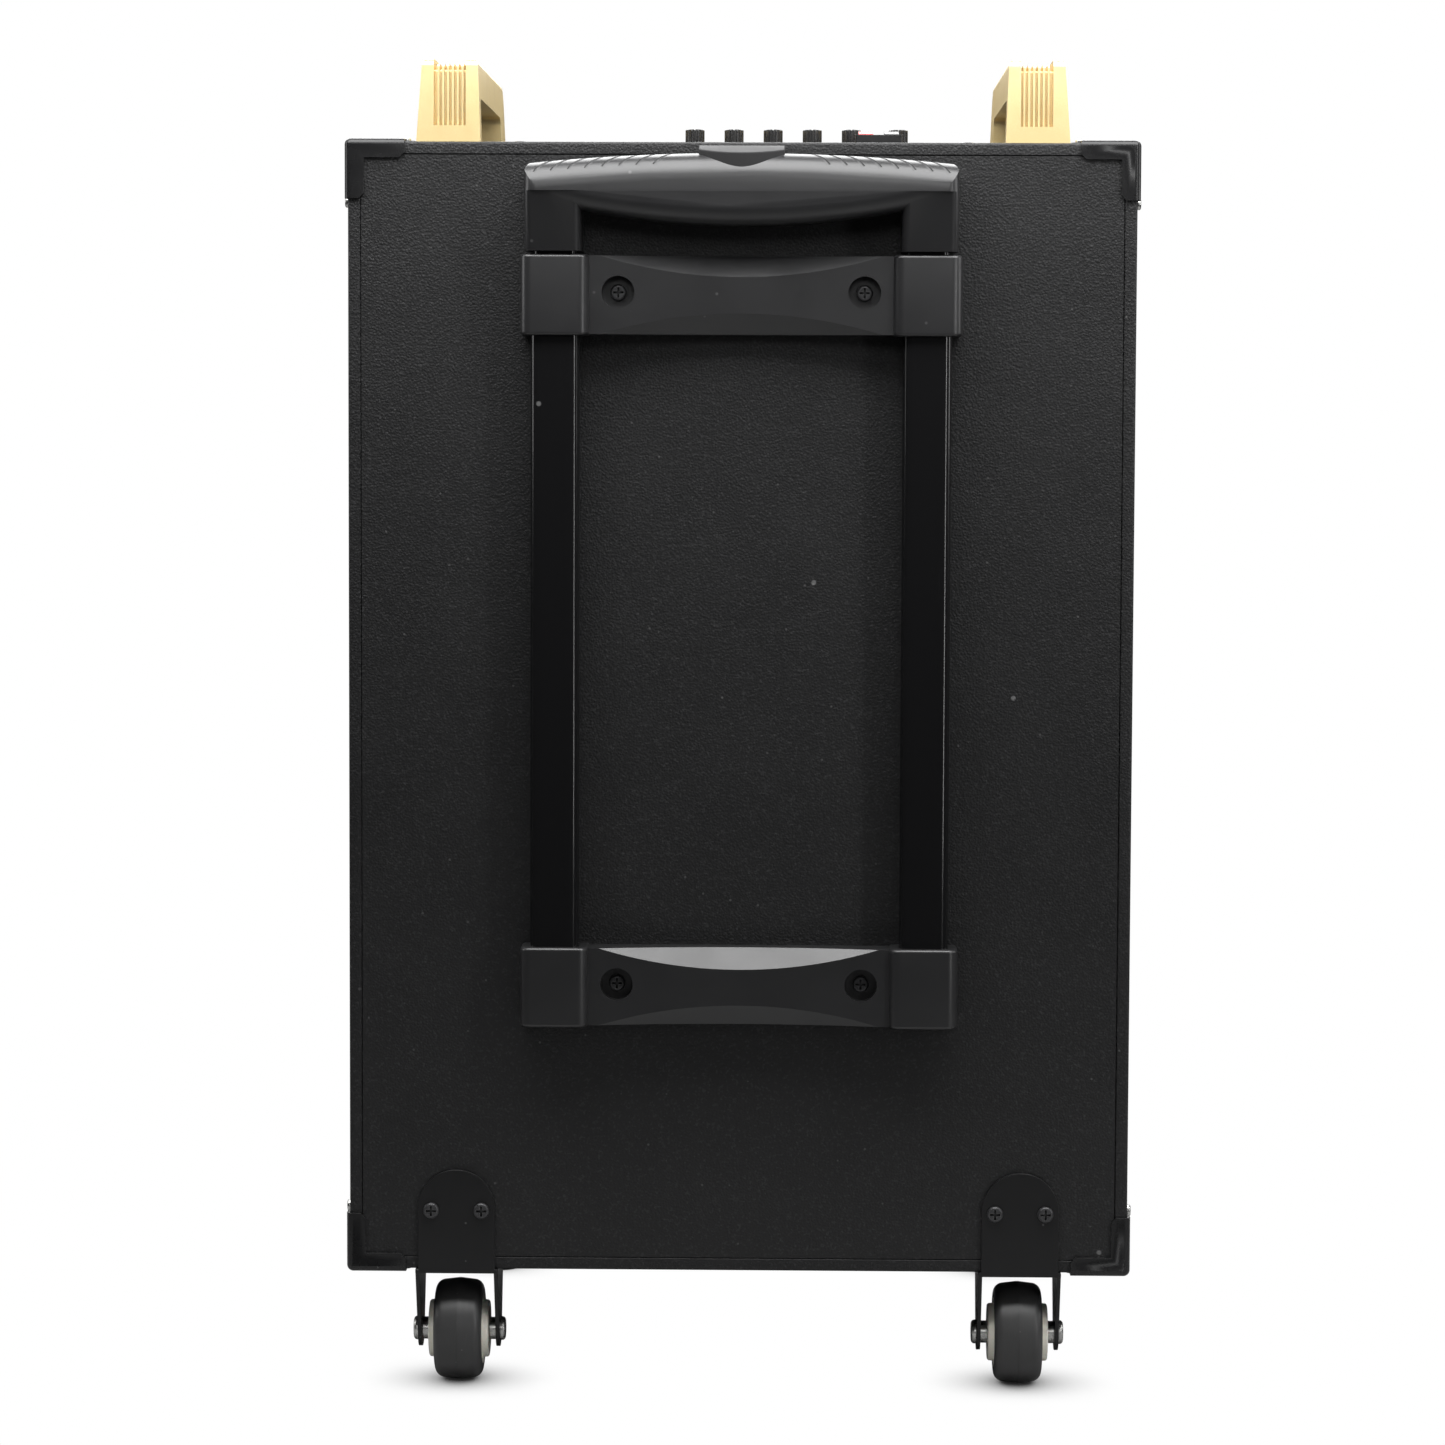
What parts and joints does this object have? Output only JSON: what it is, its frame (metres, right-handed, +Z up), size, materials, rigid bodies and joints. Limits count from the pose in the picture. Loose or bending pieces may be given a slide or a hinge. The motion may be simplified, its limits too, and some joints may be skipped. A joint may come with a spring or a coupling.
{
  "type": "party speaker",
  "caption": "Black vinyl-wrapped wooden party speaker on castors, with a woofer and horn behind a grille, a top control panel, gold carry handles and a telescopic pull handle.",
  "frame": {"origin": "on the floor, below the middle of the whole object's bounding box", "axes": "+Z up, the front grille faces -Y, the pull handle is on the +Y side, +X is to the right seen from the front"},
  "size_m": [0.3934, 0.3646, 0.662],
  "materials": {
    "wrap": "pebbled black PVC wrap over fibreboard",
    "board": "black-stained fibreboard",
    "corner": "satin black enamel on pressed steel",
    "zinc": "bright zinc plate",
    "gold": "metallic gold lacquer on moulded plastic",
    "nylon": "black glass-filled nylon, satin",
    "tube": "gloss black enamel on steel tube",
    "castor_steel": "satin black enamel on pressed steel",
    "black_screw": "black oxide steel",
    "foot_rubber": "matt black rubber",
    "panel": "satin black enamel on steel plate",
    "window": "tinted acrylic",
    "gloss": "black ABS",
    "board_green": "green circuit board with black parts",
    "battery_case": "grey moulded battery case",
    "basket": "black enamel on pressed steel",
    "ferrite": "bare ferrite between zinc plates",
    "surround": "black treated cloth",
    "paper": "black pressed paper pulp",
    "grille": "black powder coat on perforated steel",
    "cable": "PVC-insulated copper leads",
    "tyre": "black rubber, worn on the tread",
    "hub": "ivory nylon",
    "red_plastic": "red ABS"
  },
  "bodies": {
    "cabinet": {"top_panel": "wrap", "bottom_panel": "wrap", "side_panels": "wrap", "back_panel": "wrap", "front_baffle": "board", "corner_protectors": "corner", "corner_screws": "zinc", "carry_handles": "gold", "upper_tube_bracket": "nylon", "lower_tube_bracket": "nylon", "bracket_screws": "black_screw", "outer_tubes": "tube", "castor_brackets": "castor_steel", "castor_screws": "black_screw", "castor_axles": "zinc", "front_feet": "foot_rubber", "control_panel": "panel", "wood_screws": "black_screw", "grille_screws": "black_screw", "display_window": "window", "media_module": "gloss", "panel_sockets": "gloss", "terminal_base": "gloss", "amplifier_board": "board_green", "power_supply": "board_green", "battery": "battery_case", "battery_strap": "zinc", "woofer_basket": "basket", "woofer_magnet": "ferrite", "woofer_suspension": "surround", "tweeter_horn": "nylon", "tweeter_driver": "ferrite", "front_grille": "grille", "bass_ports": "nylon", "cables": "cable"},
    "woofer_moving_part": {"woofer_cone": "paper"},
    "pull_handle": {"grip_upper_shell": "nylon", "grip_lower_shell": "nylon", "inner_tubes": "tube"},
    "release": {"release_button": "nylon", "push_rods": "zinc"},
    "left_pin": {"left_lock_pin": "zinc"},
    "right_pin": {"right_lock_pin": "zinc"},
    "left_wheel": {"left_wheel_tyre": "tyre", "left_wheel_hub": "hub"},
    "right_wheel": {"right_wheel_tyre": "tyre", "right_wheel_hub": "hub"},
    "music_volume_knob_body": {"music_volume_knob": "gloss"},
    "bass_knob_body": {"bass_knob": "gloss"},
    "treble_knob_body": {"treble_knob": "gloss"},
    "mic_volume_knob_body": {"mic_volume_knob": "gloss"},
    "echo_knob_body": {"echo_knob": "gloss"},
    "guitar_volume_knob_body": {"guitar_volume_knob": "gloss"},
    "mode_button_body": {"mode_button": "gloss"},
    "previous_button_body": {"previous_button": "gloss"},
    "play_button_body": {"play_button": "gloss"},
    "next_button_body": {"next_button": "gloss"},
    "power_rocker_body": {"power_rocker": "red_plastic"},
    "red_terminal_lever_body": {"red_terminal_lever": "red_plastic"},
    "black_terminal_lever_body": {"black_terminal_lever": "gloss"}
  },
  "joints": [
    {"name": "handle_slide", "type": "slide", "parent": "cabinet", "child": "pull_handle", "axis": [0, 0, 1], "range_m": [0, 0.3]},
    {"name": "release_press", "type": "slide", "parent": "pull_handle", "child": "release", "axis": [0, 0, -1], "range_m": [0, 0.005], "stiffness_N_per_m": 600, "springref_m": -0.002},
    {"name": "left_pin_slide", "type": "slide", "parent": "pull_handle", "child": "left_pin", "axis": [-1, 0, 0], "range_m": [0, 0.004]},
    {"name": "right_pin_slide", "type": "slide", "parent": "pull_handle", "child": "right_pin", "axis": [1, 0, 0], "range_m": [0, 0.004]},
    {"name": "left_wheel_spin", "type": "hinge", "parent": "cabinet", "child": "left_wheel", "pos_m": [0.1406, 0.1273, 0.0255], "axis": [1, 0, 0], "continuous": true},
    {"name": "right_wheel_spin", "type": "hinge", "parent": "cabinet", "child": "right_wheel", "pos_m": [-0.1406, 0.1273, 0.0255], "axis": [1, 0, 0], "continuous": true},
    {"name": "woofer_stroke", "type": "slide", "parent": "cabinet", "child": "woofer_moving_part", "axis": [0, -1, 0], "range_m": [-0.004, 0.004], "stiffness_N_per_m": 1500, "deforming": ["woofer_suspension"]},
    {"name": "music_volume_knob_turn", "type": "hinge", "parent": "cabinet", "child": "music_volume_knob_body", "pos_m": [0.0255, 0.0543, 0.622], "axis": [0, 0, -1], "range_deg": [-150, 150]},
    {"name": "bass_knob_turn", "type": "hinge", "parent": "cabinet", "child": "bass_knob_body", "pos_m": [0.0055, 0.0543, 0.622], "axis": [0, 0, -1], "range_deg": [-150, 150]},
    {"name": "treble_knob_turn", "type": "hinge", "parent": "cabinet", "child": "treble_knob_body", "pos_m": [-0.0145, 0.0543, 0.622], "axis": [0, 0, -1], "range_deg": [-150, 150]},
    {"name": "mic_volume_knob_turn", "type": "hinge", "parent": "cabinet", "child": "mic_volume_knob_body", "pos_m": [-0.0345, 0.0543, 0.622], "axis": [0, 0, -1], "range_deg": [-150, 150]},
    {"name": "echo_knob_turn", "type": "hinge", "parent": "cabinet", "child": "echo_knob_body", "pos_m": [-0.0545, 0.0543, 0.622], "axis": [0, 0, -1], "range_deg": [-150, 150]},
    {"name": "guitar_volume_knob_turn", "type": "hinge", "parent": "cabinet", "child": "guitar_volume_knob_body", "pos_m": [-0.0785, 0.0543, 0.622], "axis": [0, 0, -1], "range_deg": [-150, 150]},
    {"name": "mode_button_press", "type": "slide", "parent": "cabinet", "child": "mode_button_body", "axis": [0, 0, -1], "range_m": [0, 0.001], "stiffness_N_per_m": 600, "springref_m": -0.0005},
    {"name": "previous_button_press", "type": "slide", "parent": "cabinet", "child": "previous_button_body", "axis": [0, 0, -1], "range_m": [0, 0.001], "stiffness_N_per_m": 600, "springref_m": -0.0005},
    {"name": "play_button_press", "type": "slide", "parent": "cabinet", "child": "play_button_body", "axis": [0, 0, -1], "range_m": [0, 0.001], "stiffness_N_per_m": 600, "springref_m": -0.0005},
    {"name": "next_button_press", "type": "slide", "parent": "cabinet", "child": "next_button_body", "axis": [0, 0, -1], "range_m": [0, 0.001], "stiffness_N_per_m": 600, "springref_m": -0.0005},
    {"name": "power_rocker_tilt", "type": "hinge", "parent": "cabinet", "child": "power_rocker_body", "pos_m": [-0.092, 0.0013, 0.6195], "axis": [-1, 0, 0], "range_deg": [0, 12]},
    {"name": "red_terminal_lever_press", "type": "hinge", "parent": "cabinet", "child": "red_terminal_lever_body", "pos_m": [-0.0615, 0.0823, 0.6246], "axis": [1, 0, 0], "range_deg": [0, 12], "stiffness_Nm_per_rad": 0.02, "springref_deg": -5},
    {"name": "black_terminal_lever_press", "type": "hinge", "parent": "cabinet", "child": "black_terminal_lever_body", "pos_m": [-0.0745, 0.0823, 0.6246], "axis": [1, 0, 0], "range_deg": [0, 12], "stiffness_Nm_per_rad": 0.02, "springref_deg": -5}
  ],
  "couplings": [
    {"joint": "left_pin_slide", "follows": "release_press", "ratio": 0.6},
    {"joint": "right_pin_slide", "follows": "release_press", "ratio": 0.6}
  ]
}
